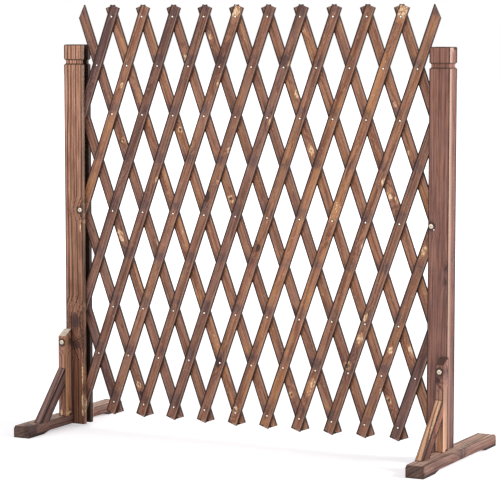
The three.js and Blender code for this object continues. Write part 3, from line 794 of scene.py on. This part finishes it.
def nut_shape(low, high):
    """A flanged sleeve that fills its CAD node's place, with its crowned flange behind."""
    radius, crown, mouth = (high.x - low.x) / 2, high.y, low.y
    seat = crown - head_height
    return turned([
        (0, crown),
        *((radius * share, crown - drop) for share, drop in crowned_rim),
        (sleeve_outside, seat),
        (sleeve_outside, mouth),
        (sleeve_inside, mouth),
        (sleeve_inside, seat),
        (0, seat),
    ], bolt_sides)


for side in ("left", "right"):
    for place in ("lattice", "upright"):
        for kind, shaped in (("bolt", bolt_shape), ("nut", nut_shape)):
            node = f"{side}_{place}_{kind}"
            low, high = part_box(node)
            shape = shaped(low, high)
            bmesh.ops.translate(shape, verts=shape.verts, vec=((low.x + high.x) / 2, 0, (low.z + high.z) / 2))
            finish_piece(shape, f"{side}_{place}_{kind}_turned", bolt_steel, f"{side}_stand", "steel", node)


# The screws and the nail. Countersunk steel screws come up through the feet, where only their heads show, and
# one holds each brace from the back of its upright. A wire nail is driven in beside the right post's bolt.
nail_head = ((0, 0), (0.0012, 0.0001), (0.0018, 0.0004), (0.0019, 0.0009))  # radius, place behind its top
nail_shank = 0.0009
for name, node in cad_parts.items():
    if name.endswith("_screw"):
        node.data.materials.clear()
        node.data.materials.append(steel)

low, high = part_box("right_post_nail")
nail = turned([
    *((radius, low.y + behind) for radius, behind in nail_head),
    (nail_shank, low.y + nail_head[-1][1]),
    (nail_shank, high.y),
    (0, high.y),
], nail_sides)
bmesh.ops.translate(nail, verts=nail.verts, vec=((low.x + high.x) / 2, 0, (low.z + high.z) / 2))
finish_piece(nail, "right_post_nail_head", steel, "right_stand", "steel", "right_post_nail")


# The studio. A wide white floor and a white surround. A large soft lamp hangs to the right, a little behind
# the fence, and lights its right sides and tops. A second, in front to the left, lights the slats' faces.
sky_light = 0.48
floor_reach = 30.0
floor_grey = 0.9
near_glow, far_glow = 0.44, 1.0  # what the floor adds to itself where it is seen, by the feet and far away
near_reach, far_reach = 1.0, 4.0  # how far out the one ends and the other is reached
cool_white = (0.98, 0.96, 1, 1)
lamps = (  # where it stands, how wide it is, and its watts
    ("side_light", (5.6, 1.2, 2.6), 2.6, 330),
    ("front_light", (-2.2, -6.0, 3.0), 3.4, 190),
)
lamp_aim = Vector((0, 0, 0.5))


def seen_directly(tree):
    """1 for what the camera, a mirror or glass sees, and 0 for light on its way to the fence."""
    ray = put(tree, "LightPath", {})
    seen = calc(tree, "MAXIMUM", ray["Is Camera Ray"], ray["Is Glossy Ray"])
    return calc(tree, "MAXIMUM", seen, ray["Is Transmission Ray"])


surround = bpy.data.worlds.new("white_surround")
surround.use_nodes = True
bpy.context.scene.world = surround
tree = surround.node_tree
background = tree.nodes["Background"].inputs
background["Color"].default_value = (1, 1, 1, 1)
brightness = calc(tree, "MULTIPLY_ADD", seen_directly(tree), 1 - sky_light, sky_light)
tree.links.new(brightness, background["Strength"])

floor_shape = bmesh.new()
bmesh.ops.create_grid(floor_shape, x_segments=2, y_segments=2, size=floor_reach)
floor_mesh = bpy.data.meshes.new("studio_floor")
floor_shape.to_mesh(floor_mesh)
floor_shape.free()
floor = bpy.data.objects.new("studio_floor", floor_mesh)
bpy.context.scene.collection.objects.link(floor)
floor_white = bpy.data.materials.new("floor_white")
floor_white.use_nodes = True
tree = floor_white.node_tree
surface = tree.nodes["Principled BSDF"].inputs
surface["Base Color"].default_value = (floor_grey, floor_grey, floor_grey, 1)
surface["Roughness"].default_value = 1.0
surface["Specular IOR Level"].default_value = 0.0
away = put(tree, "VectorMath", {0: put(tree, "TexCoord", {})["Object"]}, operation="LENGTH")["Value"]
feeds = {"Value": away, "From Min": near_reach, "From Max": far_reach, "To Min": near_glow,
         "To Max": far_glow}
glow = put(tree, "MapRange", feeds)["Result"]
tree.links.new(tint(tree, seen_directly(tree), (0, 0, 0, 1), cool_white), surface["Emission Color"])
tree.links.new(glow, surface["Emission Strength"])
floor_mesh.materials.append(floor_white)

for name, place, across, watts in lamps:
    lamp = bpy.data.lights.new(name, "AREA")
    lamp.shape = "SQUARE"
    lamp.size = across
    lamp.energy = watts
    holder = bpy.data.objects.new(name, lamp)
    bpy.context.scene.collection.objects.link(holder)
    holder.location = place
    holder.rotation_euler = (lamp_aim - Vector(place)).to_track_quat("-Z", "Y").to_euler()

bpy.context.scene.view_settings.view_transform = "Standard"


# The camera stands well back, to the right of the fence and a little below its top, as the photograph shows.
# It has a long lens, so that the fence's far end is hardly smaller than its near one.
camera_place = (2.4734, -4.7726, 1.0376)
camera_dip, camera_turn = 5.81, 27.46  # degrees, downwards and to its left from straight back
film_width, focal_length = 36.0, 159.6  # millimetres
lens = bpy.data.cameras.new("photograph_view")
lens.sensor_width = film_width
lens.lens = focal_length
camera = bpy.data.objects.new("photograph_view", lens)
bpy.context.scene.collection.objects.link(camera)
camera.location = camera_place
camera.rotation_euler = (math.radians(90 - camera_dip), 0, math.radians(camera_turn))
bpy.context.scene.camera = camera
